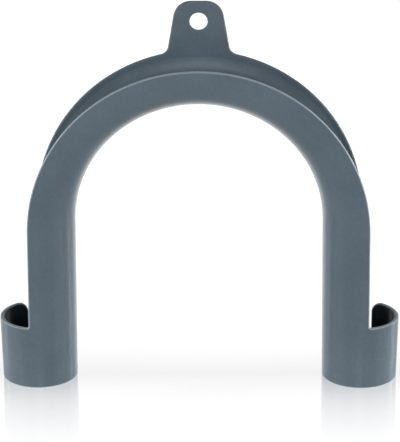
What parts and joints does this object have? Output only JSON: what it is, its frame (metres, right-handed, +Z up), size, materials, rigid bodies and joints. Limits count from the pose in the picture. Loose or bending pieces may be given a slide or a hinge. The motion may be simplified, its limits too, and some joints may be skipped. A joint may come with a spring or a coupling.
{
  "type": "drain hose holder",
  "caption": "U-shaped gutter that guides an appliance drain hose over an edge, with an open clip at each foot and a flat hanging tab with a screw hole.",
  "frame": {"origin": "on the floor midway between the two feet, on the gutter's centre line", "axes": "+X from foot to foot, +Y towards the wall that the back lies against, +Z up"},
  "size_m": [0.1728, 0.0331, 0.1643],
  "materials": {
    "grey_plastic": "smooth moulded polypropylene with a soft sheen"
  },
  "bodies": {
    "root": {"hose_holder": "grey_plastic"}
  },
  "joints": []
}
